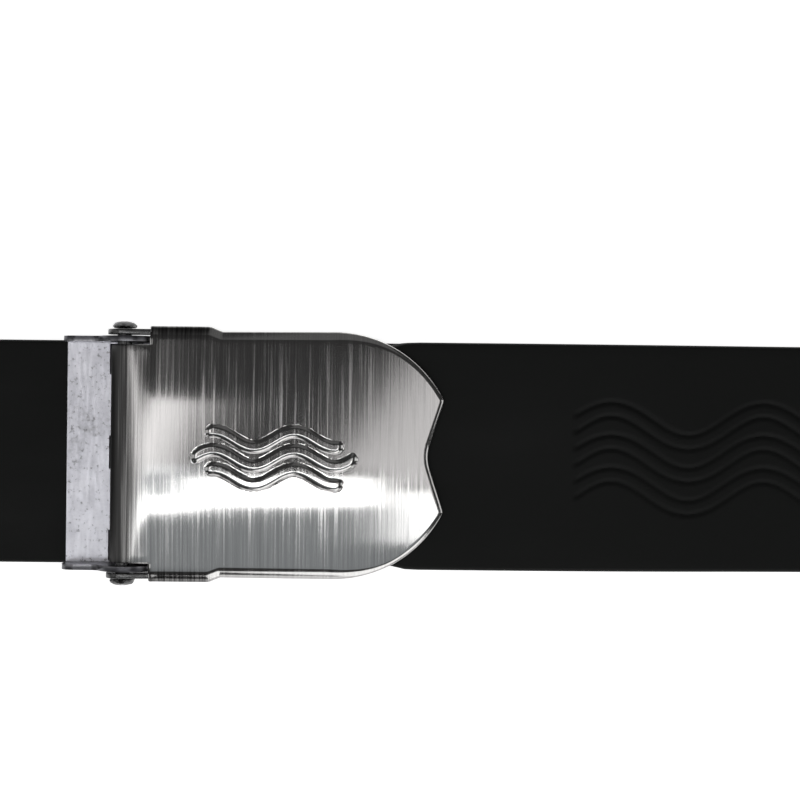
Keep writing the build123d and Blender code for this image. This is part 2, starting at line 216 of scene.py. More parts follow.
def outline_distance(points, outline, closed=True):
    """The distance of each point from an outline."""
    starts = outline if closed else outline[:-1]
    ends = np.roll(outline, -1, axis=0)[: len(starts)]
    spans = ends - starts
    lengths = np.maximum((spans**2).sum(axis=1), 1e-12)
    nearest = np.full(len(points), 1e9)
    for start, span, length in zip(starts, spans, lengths):
        offset = points - start
        along = np.clip((offset @ span) / length, 0.0, 1.0)
        gap = offset - along[:, None] * span
        nearest = np.minimum(nearest, (gap**2).sum(axis=1))
    return np.sqrt(nearest)


# ---------------------------------------------------------------- materials

# Where painted shade darkens the lever's sheet, in metres along its own surface; the curl is also duller
# there.
# The curl and the wing are counted from the lip's edge, and the flange from the middle.
CURL_DULL_AND_SHADE_FADE = (0.0080, 0.0152)
FLANGE_SHADE_FADE = (0.0242, 0.0268)
WING_SHADE_FADE = (0.0275, 0.0295)

# Where the frame's plate goes over into its side walls, and painted shade darkens it, in metres from the
# middle.
WALL_SHADE_FADE = (0.0243, 0.0252)


class Nodes:
    """Short names for the nodes of one material."""

    def __init__(self, name):
        self.material = bpy.data.materials.new(name)
        self.material.use_nodes = True
        self.tree = self.material.node_tree
        self.shader = self.tree.nodes["Principled BSDF"]

    def link(self, output, socket):
        """Joins an output to an input."""
        self.tree.links.new(output, socket)

    def coordinates(self, kind):
        """The texture coordinates of a kind, Object or UV."""
        return self.tree.nodes.new("ShaderNodeTexCoord").outputs[kind]

    def stretch(self, vector, scale):
        """The vector with each axis scaled."""
        mapping = self.tree.nodes.new("ShaderNodeMapping")
        mapping.inputs["Scale"].default_value = scale
        self.link(vector, mapping.inputs["Vector"])
        return mapping.outputs["Vector"]

    def noise(self, vector, scale, detail=2.0, roughness=0.5):
        """Smooth noise of about 0 to 1."""
        texture = self.tree.nodes.new("ShaderNodeTexNoise")
        texture.inputs["Scale"].default_value = scale
        texture.inputs["Detail"].default_value = detail
        texture.inputs["Roughness"].default_value = roughness
        self.link(vector, texture.inputs["Vector"])
        return texture.outputs["Fac"]

    def spread(self, value, low, high, to_low, to_high):
        """Maps low..high of value onto to_low..to_high."""
        mapper = self.tree.nodes.new("ShaderNodeMapRange")
        mapper.inputs["From Min"].default_value = low
        mapper.inputs["From Max"].default_value = high
        mapper.inputs["To Min"].default_value = to_low
        mapper.inputs["To Max"].default_value = to_high
        self.link(value, mapper.inputs["Value"])
        return mapper.outputs["Result"]

    def sum(self, first, second, weight=1.0):
        """first plus weight times second."""
        adder = self.tree.nodes.new("ShaderNodeMath")
        adder.operation = "MULTIPLY_ADD"
        self.link(second, adder.inputs[0])
        adder.inputs[1].default_value = weight
        self.link(first, adder.inputs[2])
        return adder.outputs[0]

    def times(self, first, second):
        """first times second."""
        product = self.tree.nodes.new("ShaderNodeMath")
        product.operation = "MULTIPLY"
        self.link(first, product.inputs[0])
        self.link(second, product.inputs[1])
        return product.outputs[0]

    def ramp(self, value, stops):
        """A colour ramp; stops are (place, colour)."""
        ramp = self.tree.nodes.new("ShaderNodeValToRGB")
        elements = ramp.color_ramp.elements
        while len(elements) < len(stops):
            elements.new(0.5)
        for element, (place, colour) in zip(elements, stops):
            element.position = place
            element.color = (*colour, 1.0)
        self.link(value, ramp.inputs["Fac"])
        return ramp.outputs["Color"]

    def axis(self, vector, name):
        """One coordinate of a vector, without its sign."""
        split = self.tree.nodes.new("ShaderNodeSeparateXYZ")
        self.link(vector, split.inputs["Vector"])
        size = self.tree.nodes.new("ShaderNodeMath")
        size.operation = "ABSOLUTE"
        self.link(split.outputs[name], size.inputs[0])
        return size.outputs[0]

    def bump(self, height, strength, distance):
        """Makes the material's surface look raised where height is large."""
        bump = self.tree.nodes.new("ShaderNodeBump")
        bump.inputs["Strength"].default_value = strength
        bump.inputs["Distance"].default_value = distance
        self.link(height, bump.inputs["Height"])
        self.link(bump.outputs["Normal"], self.shader.inputs["Normal"])


def rubber_material():
    """Smooth black moulded rubber with a faint grain and dull smudges."""
    nodes = Nodes("strap_rubber")
    place = nodes.coordinates("Object")
    grain = nodes.noise(place, 2200.0, 3.0)
    smudge = nodes.noise(nodes.stretch(place, (14.0, 40.0, 14.0)), 1.0, 4.0, 0.6)
    colour = nodes.ramp(smudge, [(0.3, (0.0030, 0.0036, 0.0032)), (0.7, (0.0056, 0.0064, 0.0057))])
    nodes.link(colour, nodes.shader.inputs["Base Color"])
    nodes.link(nodes.spread(smudge, 0.3, 0.7, 0.46, 0.62), nodes.shader.inputs["Roughness"])
    nodes.shader.inputs["Specular IOR Level"].default_value = 0.25
    nodes.bump(grain, 0.25, 0.00006)
    return nodes.material


def brushed_material(name, tint, base_roughness):
    """Steel brushed across its length; the brush lines run along the second UV axis.

    The sheet is duller where it is bent round the pin; its colour there and along the edges of its wings is
    darkened as painted shade.
    """
    nodes = Nodes(name)
    place = nodes.coordinates("UV")
    fine = nodes.noise(nodes.stretch(place, (5200.0, 30.0, 1.0)), 1.0, 3.0, 0.6)
    streaks = nodes.noise(nodes.stretch(place, (2100.0, 34.0, 1.0)), 1.0, 2.0, 0.55)
    broad = nodes.noise(nodes.stretch(place, (420.0, 12.0, 1.0)), 1.0, 3.0, 0.6)
    lines = nodes.sum(nodes.sum(fine, streaks, 0.9), broad, 0.5)
    # Painted shade: the curl round the pin is coloured darker, standing in for the shade it falls into; it
    # is also made duller.
    bent = nodes.spread(nodes.axis(place, "X"), *CURL_DULL_AND_SHADE_FADE, 1.0, 0.0)
    # Painted shade: the edges of the wings are coloured darker, standing in for the shade there.
    flange_painted_shade = nodes.spread(nodes.axis(place, "Y"), *FLANGE_SHADE_FADE, 0.0, 0.9)
    wing = nodes.times(flange_painted_shade, nodes.spread(nodes.axis(place, "X"), *WING_SHADE_FADE, 1.0, 0.0))
    dark = tuple(0.78 * part for part in tint)
    darkest = tuple(0.12 * part for part in tint)
    tone_and_painted_shade = nodes.sum(nodes.sum(nodes.spread(lines, 0.95, 1.45, 0.5, 1.0), bent, -0.95), wing, -0.72)
    colour = nodes.ramp(tone_and_painted_shade, [(0.0, darkest), (0.5, dark), (1.0, tint)])
    nodes.link(colour, nodes.shader.inputs["Base Color"])
    worn = nodes.spread(lines, 1.22, 1.62, base_roughness, base_roughness + 0.17)
    nodes.link(nodes.sum(worn, bent, 0.24), nodes.shader.inputs["Roughness"])
    nodes.shader.inputs["Metallic"].default_value = 1.0
    nodes.shader.inputs["Anisotropic"].default_value = 0.8
    tangent = nodes.tree.nodes.new("ShaderNodeTangent")
    tangent.direction_type = "UV_MAP"
    tangent.uv_map = "along"
    nodes.link(tangent.outputs["Tangent"], nodes.shader.inputs["Tangent"])
    nodes.bump(lines, 0.09, 0.00003)
    return nodes.material


def plate_material():
    """Mill-finish sheet, a little lilac, with specks and handling scratches; its side walls are coloured
    darker as painted shade.
    """
    nodes = Nodes("frame_steel")
    place = nodes.coordinates("Object")
    cloud = nodes.noise(place, 90.0, 4.0, 0.6)
    specks = nodes.noise(place, 1100.0, 3.0, 0.65)
    pits = nodes.spread(specks, 0.31, 0.40, -0.26, 0.0)
    scratches = nodes.noise(nodes.stretch(place, (1500.0, 240.0, 1500.0)), 1.0, 2.0, 0.6)
    # Painted shade: the side walls and ears are coloured darker than the plate.
    wall_painted_shade = nodes.spread(nodes.axis(place, "Y"), *WALL_SHADE_FADE, 0.0, 1.0)
    bright = nodes.sum(nodes.sum(cloud, specks, 0.4), pits, 1.0)
    shades = [
        (0.0, (0.12, 0.12, 0.13)),
        (0.40, (0.38, 0.38, 0.40)),
        (0.60, (0.66, 0.66, 0.71)),
        (0.80, (0.78, 0.78, 0.83)),
    ]
    colour = nodes.ramp(nodes.sum(bright, wall_painted_shade, -0.85), shades)
    nodes.link(colour, nodes.shader.inputs["Base Color"])
    nodes.link(nodes.spread(scratches, 0.3, 0.7, 0.29, 0.38), nodes.shader.inputs["Roughness"])
    nodes.shader.inputs["Metallic"].default_value = 1.0
    nodes.bump(nodes.sum(specks, scratches, 0.4), 0.14, 0.00004)
    return nodes.material


def bright_material(name, tint, roughness):
    """Bright worked steel with small dents."""
    nodes = Nodes(name)
    place = nodes.coordinates("Object")
    dents = nodes.noise(place, 900.0, 3.0, 0.6)
    wear = nodes.noise(place, 260.0, 4.0, 0.6)
    colour = nodes.ramp(wear, [(0.3, tuple(0.6 * part for part in tint)), (0.7, tint)])
    nodes.link(colour, nodes.shader.inputs["Base Color"])
    nodes.link(nodes.spread(wear, 0.3, 0.7, roughness + 0.12, roughness), nodes.shader.inputs["Roughness"])
    nodes.shader.inputs["Metallic"].default_value = 1.0
    nodes.bump(dents, 0.3, 0.00012)
    return nodes.material


# ---------------------------------------------------------------- strap

# The route's sizes are those of the CAD, in millimetres and degrees.
STRAP_HALF = 25.0
STRAP_THICK = 3.4
LAYER_STEP = STRAP_THICK + 0.5
GROUND_Z = STRAP_THICK / 2
MAIN_Z = GROUND_Z + LAYER_STEP
FOLD_Z = MAIN_Z + LAYER_STEP
END_RADIUS = 20.0
END_X = 210.0
FOOT_RADIUS = 80.0
TAIL_RADIUS = 70.0
TAIL_TURN = 33.0
TAIL_END = 14.0
TAIL_CORNER = 12.0
BAR_WRAP = 2.6
UPPER_Z = MAIN_Z + 2 * BAR_WRAP
WRAP_X = -17.0
FOLD_END_X = 27.0
FOLD_DOWN = (-3.0, 7.0)
CAM_RISE = (-64.4, -52.6)
COVER_RISE = (-42.0, -22.0)
COVER_Z = 14.5
TAIL_DOWN = (22.0, 115.0)

# The strap is narrower in the frame and for SQUEEZE_PAST beyond it, and widens again over SQUEEZE_RAMP.
SQUEEZE_HALF = 24.0
SQUEEZE_OVER_Z = frame_low.z - 0.15
SQUEEZE_TO_X = frame_high.x + 1.0
SQUEEZE_PAST = 1.0
SQUEEZE_RAMP = 6.0

# The strap's edges are rounded to STRAP_EDGE. At its two ends the rounding's outer END_INSET is left out.
STRAP_EDGE = 0.8
STRAP_EDGE_SHARE = 0.9
STRAP_EDGE_TURN = 75.0
END_INSET = 0.25

# The moulded waves: where they are along the tail, and the shape of their grooves.
WAVE_FROM = 38.0
WAVE_TO = 106.0
WAVE_FADE = 1.0
WAVE_LENGTH = 34.0
WAVE_HEIGHT = 3.6
WAVE_PITCH = 7.2
WAVE_OUTLINE = 1.5
WAVE_DEPTH = 0.35
WAVE_HALF = 13.5
WAVE_STEP = 0.45
WAVE_MARGIN = 1.6
GROOVE_HALF = 0.2
GROOVE_SIDE = 0.5


def run(length, step=3.0):
    """A straight stretch of the strap, as (length, turn, step)."""
    return [(length, 0.0, step)]


def bend(radius, turn, step=1.5):
    """A round stretch of the strap; it turns left for a positive angle."""
    length = radius * math.radians(abs(turn))
    return [(length, turn, min(step, length / 8))]


def shift(length, side, step=1.5):
    """Two equal bends that move the strap sideways, to the left for a positive side."""
    turn = 2 * math.degrees(math.atan(abs(side) / length))
    radius = length / (2 * math.sin(math.radians(turn)))
    turn = math.copysign(turn, side)
    return bend(radius, turn, step) + bend(radius, -turn, step)


def strap_route():
    """The strap from its riveted end round the belt to its free end, as the CAD lays it."""
    foot_turn = math.degrees(math.acos(1 - (2 * END_RADIUS - LAYER_STEP) / (END_RADIUS + FOOT_RADIUS)))
    foot_x = END_X - (END_RADIUS + FOOT_RADIUS) * math.sin(math.radians(foot_turn))
    route = run(FOLD_END_X - FOLD_DOWN[1])
    route += shift(FOLD_DOWN[1] - FOLD_DOWN[0], FOLD_Z - UPPER_Z)
    route += run(FOLD_DOWN[0] - WRAP_X)
    route += bend(BAR_WRAP, 180)
    route += run(foot_x - WRAP_X)
    route += bend(FOOT_RADIUS, foot_turn)
    route += bend(END_RADIUS, -180 - foot_turn)
    route += run(2 * END_X)
    route += bend(END_RADIUS, -180 - foot_turn)
    route += bend(FOOT_RADIUS, foot_turn)
    route += run(foot_x + CAM_RISE[0])
    route += shift(CAM_RISE[1] - CAM_RISE[0], UPPER_Z - MAIN_Z)
    route += run(COVER_RISE[0] - CAM_RISE[1])
    route += shift(COVER_RISE[1] - COVER_RISE[0], COVER_Z - UPPER_Z)
    route += run(TAIL_DOWN[0] - COVER_RISE[1])
    route += shift(TAIL_DOWN[1] - TAIL_DOWN[0], FOLD_Z - COVER_Z, 0.5)
    route += run(foot_x - TAIL_DOWN[1])
    route += bend(TAIL_RADIUS, TAIL_TURN)
    route += run(TAIL_END, 0.7)
    return route


def follow(route, start, heading):
    """Points, headings and distances along a route that begins at start."""
    x, z = start
    angle = math.radians(heading)
    points = [(x, z)]
    angles = [angle]
    travelled = [0.0]
    for length, turn, step in route:
        pieces = max(1, math.ceil(length / step))
        part = length / pieces
        swing = math.radians(turn) / pieces
        for _ in range(pieces):
            chord = part if swing == 0 else part * math.sin(swing / 2) / (swing / 2)
            x += chord * math.cos(angle + swing / 2)
            z += chord * math.sin(angle + swing / 2)
            angle += swing
            points.append((x, z))
            angles.append(angle)
            travelled.append(travelled[-1] + part)
    return np.array(points), np.array(angles), np.array(travelled)


def wave_grooves(x, y):
    """Depth of the moulded waves at a place on the strap's front: the outlines of three waves."""
    phase = 2 * math.pi * (x - WAVE_FROM) / WAVE_LENGTH
    centre = WAVE_HEIGHT * np.sin(phase)
    slope = 2 * math.pi * WAVE_HEIGHT / WAVE_LENGTH * np.cos(phase)
    tilt = np.sqrt(1 + slope**2)
    depth = np.zeros_like(x * y)
    for line in (-1, 0, 1):
        away = np.abs(y - line * WAVE_PITCH - centre) / tilt
        groove = 1 - smooth_step((np.abs(away - WAVE_OUTLINE) - GROOVE_HALF) / GROOVE_SIDE)
        depth = np.maximum(depth, groove)
    within = smooth_step((x - WAVE_FROM) / WAVE_FADE) * smooth_step((WAVE_TO - x) / WAVE_FADE)
    return WAVE_DEPTH * depth * within


def strap_section(half, thick_half, edge):
    """The strap's outline across, as (y, height): the front face, then round to the back face."""
    fine = np.arange(-WAVE_HALF, WAVE_HALF + 0.01, WAVE_STEP)
    outer = np.linspace(WAVE_HALF + WAVE_MARGIN, STRAP_HALF - STRAP_EDGE, 6)
    front = np.concatenate([-outer[::-1], fine, outer]) / (STRAP_HALF - STRAP_EDGE)
    back = np.linspace(1.0, -1.0, 13)
    flat = half - edge
    corner = np.radians(np.linspace(STRAP_EDGE_TURN, -STRAP_EDGE_TURN, 6))
    turn_y = flat + edge * np.cos(corner)
    top = thick_half - edge + edge * np.maximum(np.sin(corner), 0.0)
    bottom = -thick_half + edge + edge * np.minimum(np.sin(corner), 0.0)
    turn_h = np.where(corner > 0, top, bottom)
    y = np.concatenate([front * flat, turn_y, back * flat, -turn_y[::-1]])
    front_h = np.full(len(front), thick_half)
    back_h = np.full(len(back), -thick_half)
    h = np.concatenate([front_h, turn_h, back_h, turn_h[::-1]])
    return y, h


def make_strap(material):
    """The rubber strap in one piece."""
    route = strap_route()
    points, angles, travelled = follow(route, (FOLD_END_X, FOLD_Z), 180.0)
    total = travelled[-1]
    x, z = points[:, 0], points[:, 1]
    squeezed = (z > SQUEEZE_OVER_Z) & (x > CAM_RISE[0]) & (x < SQUEEZE_TO_X)
    held = travelled[squeezed]
    rings = []
    pairs = []
    for at_x, at_z, angle, at in zip(x, z, angles, travelled):
        reach = np.min(np.abs(held - at))
        widened = smooth_step((reach - SQUEEZE_PAST) / SQUEEZE_RAMP)
        half = SQUEEZE_HALF + (STRAP_HALF - SQUEEZE_HALF) * widened
        to_end = total - at
        if to_end < TAIL_CORNER:
            half -= TAIL_CORNER - math.sqrt(TAIL_CORNER**2 - (TAIL_CORNER - to_end) ** 2)
        thick_half = STRAP_THICK / 2 - edge_drop(min(to_end, at) + END_INSET, STRAP_EDGE)
        y, h = strap_section(half, thick_half, min(STRAP_EDGE, thick_half * STRAP_EDGE_SHARE))
        on_tail = at > total / 2 and WAVE_FROM - WAVE_FADE < at_x < WAVE_TO + WAVE_FADE
        if on_tail:
            h = h - np.where(h >= thick_half, wave_grooves(np.full_like(y, at_x), y), 0.0)
        ring = np.column_stack([at_x - h * math.sin(angle), y, at_z + h * math.cos(angle)])
        rings.append(ring)
        pairs.append(np.column_stack([np.full_like(y, at), y]))
    faces = tube_faces(len(rings), len(rings[0]))
    strap = add_piece("strap_skin", np.vstack(rings), faces, material, np.vstack(pairs))
    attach(strap, "belt")
    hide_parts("strap")


# ---------------------------------------------------------------- lever

SHEET = 1.2

# The bent edge: the curl round the pin, the lip with its teeth, and the shoulder's two bends.
CURL_RADIUS = 2.26
CURL_FROM = 215.0
CURL_TO = 150.0
BARREL_HALF = 23.8
LIP_LENGTH = 5.2
TOOTH_PITCH = 2.4
TOOTH_WIDTH = 1.6
TOOTH_DEPTH = 1.0
SHOULDER_TIGHT = 3.2
SHOULDER_EASY = 25.0

# The face's crown: its radius along and across, and where each begins, counted from the pin.
FACE_MID_Z = lever_top - SHEET / 2
BOW_X = 900.0
BOW_Y = 290.0
BOW_FROM = 3.9
CROWN_FROM = -1.0
CROWN_OVER = 9.0

# The face's outline from the wings to the fishtail, with u counted from the pin.
WING_FROM = 5.9
WING_TO = 19.1
WING_HALF = 28.2
WAIST_U = 21.6
WAIST_HALF = 27.2
ROUND_FROM = 46.0
ROUND_HALF = 27.4
ROUND_RADIUS = 27.4
VALLEY_U = 66.5
FISHTAIL_SLOPE = 0.325
HORN_FILLET = 2.5
HORN_POINTS = 17
VALLEY_FILLET = 9.0
VALLEY_POINTS = 13

# The rim's own rounding, and the wider bend down towards it.
RIM_ROUND = 0.25
BEND_WIDE = 4.0
BEND_NARROW = 1.5
BEND_START = 0.42
BEND_WIDE_TO = 44.0
BEND_NARROW_FROM = 60.0

# The stamped waves.
EMBLEM_U = 33.2
EMBLEM_Y = -0.6
EMBLEM_LENGTH = 35.0
EMBLEM_WAVE = 17.5
EMBLEM_SWING = 1.7
EMBLEM_PITCH = 4.1
EMBLEM_HALF = 1.05
EMBLEM_SHORTER = 3.0
EMBLEM_CREST = 0.6
EMBLEM_SIDE = 0.85
EMBLEM_HEIGHT = 0.42

# The mesh's columns and rows: fine over the emblem, closer and closer together towards a rim.
BORDER_HALF = WING_HALF - SHEET / 2
RIM_STEPS = np.array([0.0, 0.03, 0.08, 0.16, 0.28, 0.44, 0.65, 0.9, 1.2, 1.55, 1.95, 2.4, 2.9])
FINE_TO = 9.1
FINE_STEP = 0.16
COARSE_FROM = 10.0
COARSE_TO = 22.6
COARSE_STEP = 1.1
ROWS_LENGTH = 60.0
ROWS_EVEN_TO = 57.0
ROWS_EVEN = 200


def round_corner(before, corner, after, radius, steps):
    """Points on the arc that rounds a corner."""
    before, corner, after = (np.array(point, dtype=float) for point in (before, corner, after))
    one = (before - corner) / np.linalg.norm(before - corner)
    two = (after - corner) / np.linalg.norm(after - corner)
    half = math.acos(np.clip(one @ two, -1, 1)) / 2
    centre = corner + (one + two) / np.linalg.norm(one + two) * radius / math.sin(half)
    first = corner + one * radius / math.tan(half)
    last = corner + two * radius / math.tan(half)
    from_angle = math.atan2(*(first - centre)[::-1])
    swing = math.atan2(*(last - centre)[::-1]) - from_angle
    swing = (swing + math.pi) % (2 * math.pi) - math.pi
    turns = from_angle + swing * np.linspace(0, 1, steps)
    return centre + radius * np.column_stack([np.cos(turns), np.sin(turns)])


def horn_place():
    """Where the round part of the lever's outline meets the fishtail.

    Its y solves square * y**2 + 2 * linear * y + constant = 0.
    """
    drop = ROUND_RADIUS - ROUND_HALF
    square = 1 + FISHTAIL_SLOPE**2
    linear = FISHTAIL_SLOPE * (VALLEY_U - ROUND_FROM) + drop
    constant = (VALLEY_U - ROUND_FROM) ** 2 + drop**2 - ROUND_RADIUS**2
    y = (math.sqrt(linear**2 - square * constant) - linear) / square
    return np.array([VALLEY_U + FISHTAIL_SLOPE * y, y])


def lever_borders():
    """The far side of the face's outline and half of its end, both meeting in the middle of the horn."""
    horn = horn_place()
    drop = ROUND_RADIUS - ROUND_HALF
    start = np.array([ROUND_FROM, ROUND_HALF])
    angle_to = math.asin((horn[1] + drop) / ROUND_RADIUS)
    turns = np.linspace(math.pi / 2, angle_to, 60)
    arc_y = -drop + ROUND_RADIUS * np.sin(turns)
    arc = np.column_stack([ROUND_FROM + ROUND_RADIUS * np.cos(turns), arc_y])
    tangent = np.array([math.sin(angle_to), -math.cos(angle_to)])
    rounded = round_corner(horn - tangent * 6, horn, (VALLEY_U, 0.0), HORN_FILLET, HORN_POINTS)
    arc = arc[np.linalg.norm(arc - horn, axis=1) > np.linalg.norm(rounded[0] - horn)]
    wing = [(WING_FROM, WING_HALF), (WING_TO, WING_HALF), (WAIST_U, WAIST_HALF)]
    side = np.vstack([wing, start, arc[1:], rounded[: HORN_POINTS // 2 + 1]])
    valley = round_corner(horn, (VALLEY_U, 0.0), (horn[0], -horn[1]), VALLEY_FILLET, VALLEY_POINTS)
    end = np.vstack([rounded[HORN_POINTS // 2 :], valley[: VALLEY_POINTS // 2 + 1]])
    border = inset(np.vstack([side, end[1:]]), SHEET / 2)
    border[0, 0] = WING_FROM
    border[-1, 1] = 0.0
    return border[: len(side)], border[len(side) - 1 :]


def inset(border, depth):
    """The border moved inwards, to its right, by depth."""
    ways = np.gradient(border, axis=0)
    ways /= np.linalg.norm(ways, axis=1, keepdims=True)
    return border + depth * np.column_stack([ways[:, 1], -ways[:, 0]])


def along(border, places):
    """Points of a border at places from 0 to 1 of its length."""
    steps = np.linalg.norm(np.diff(border, axis=0), axis=1)
    travelled = np.concatenate([[0.0], np.cumsum(steps)]) / steps.sum()
    return np.column_stack([np.interp(places, travelled, border[:, axis]) for axis in (0, 1)])


def lip_place(length):
    """A place on the lip's middle line, at a length from where the curl begins, as (x, z)."""
    from_angle = math.radians(CURL_FROM)
    heading = math.radians(CURL_FROM - 90)
    return (
        PIN_X + CURL_RADIUS * math.cos(from_angle) - length * math.cos(heading),
        PIN_Z + CURL_RADIUS * math.sin(from_angle) - length * math.sin(heading),
    )


def curl_path():
    """The lever's bent edge: lip, curl round the pin and shoulder, as points, angles and distances."""
    heading = CURL_FROM - 90
    lip_x, lip_z = lip_place(LIP_LENGTH - TOOTH_DEPTH)
    rise = FACE_MID_Z - PIN_Z - CURL_RADIUS * math.sin(math.radians(CURL_TO))
    easy = math.radians(SHOULDER_EASY)
    steep = math.radians(CURL_TO - 90)
    wide = (rise - SHOULDER_TIGHT * (math.cos(easy) - math.cos(steep))) / (1 - math.cos(easy))
    route = run(LIP_LENGTH - TOOTH_DEPTH, 0.4) + bend(CURL_RADIUS, CURL_TO - CURL_FROM, 0.25)
    route += bend(SHOULDER_TIGHT, SHOULDER_EASY - CURL_TO + 90, 0.3) + bend(wide, -SHOULDER_EASY, 0.3)
    return follow(route, (lip_x, lip_z), heading)


def emblem(u, y):
    """Height of the stamped emblem: three short waves, one above the other."""
    along_u = u - EMBLEM_U
    phase = 2 * math.pi * along_u / EMBLEM_WAVE
    centre = EMBLEM_SWING * np.sin(phase)
    slope = 2 * math.pi * EMBLEM_SWING / EMBLEM_WAVE * np.cos(phase)
    height = np.zeros_like(u)
    for line, shorter in ((-1, EMBLEM_SHORTER), (0, 0.0), (1, EMBLEM_SHORTER)):
        past = np.maximum(np.abs(along_u) - (EMBLEM_LENGTH / 2 - shorter - EMBLEM_HALF), 0.0)
        away = np.abs(y - EMBLEM_Y - line * EMBLEM_PITCH - centre) / np.sqrt(1 + slope**2)
        distance = np.hypot(past, away)
        bump = 1 - smooth_step((distance - EMBLEM_CREST) / EMBLEM_SIDE)
        height = np.maximum(height, bump)
    return EMBLEM_HEIGHT * height


def crown_share(u):
    """How much of the face's crown has built up at a distance from the pin."""
    return smooth_step((u - CROWN_FROM) / CROWN_OVER)


def face_height(u, y, rim):
    """Middle of the sheet above z = 0 on the lever's face, whose rim is bent down."""
    sag = crown_share(u) * y**2 / (2 * BOW_Y) + np.maximum(u - BOW_FROM, 0.0) ** 2 / (2 * BOW_X)
    gap = outline_distance(np.column_stack([u.ravel(), y.ravel()]), rim, False).reshape(u.shape)
    narrow = smooth_step((u - BEND_WIDE_TO) / (BEND_NARROW_FROM - BEND_WIDE_TO))
    radius = BEND_WIDE + (BEND_NARROW - BEND_WIDE) * narrow
    return FACE_MID_Z - sag + emblem(u, y) - edge_drop(gap + BEND_START * radius, radius)


def lever_columns():
    """Places across the lever, close together at the rims and over the emblem."""
    fine = np.arange(0.0, FINE_TO, FINE_STEP)
    coarse = np.arange(COARSE_FROM, COARSE_TO, COARSE_STEP)
    at_barrel = [BARREL_HALF - RIM_STEPS[4::-1], BARREL_HALF + RIM_STEPS[1:5]]
    half = np.concatenate([fine, coarse, *at_barrel, BORDER_HALF - RIM_STEPS[::-1]])
    return np.concatenate([-half[:0:-1], half])


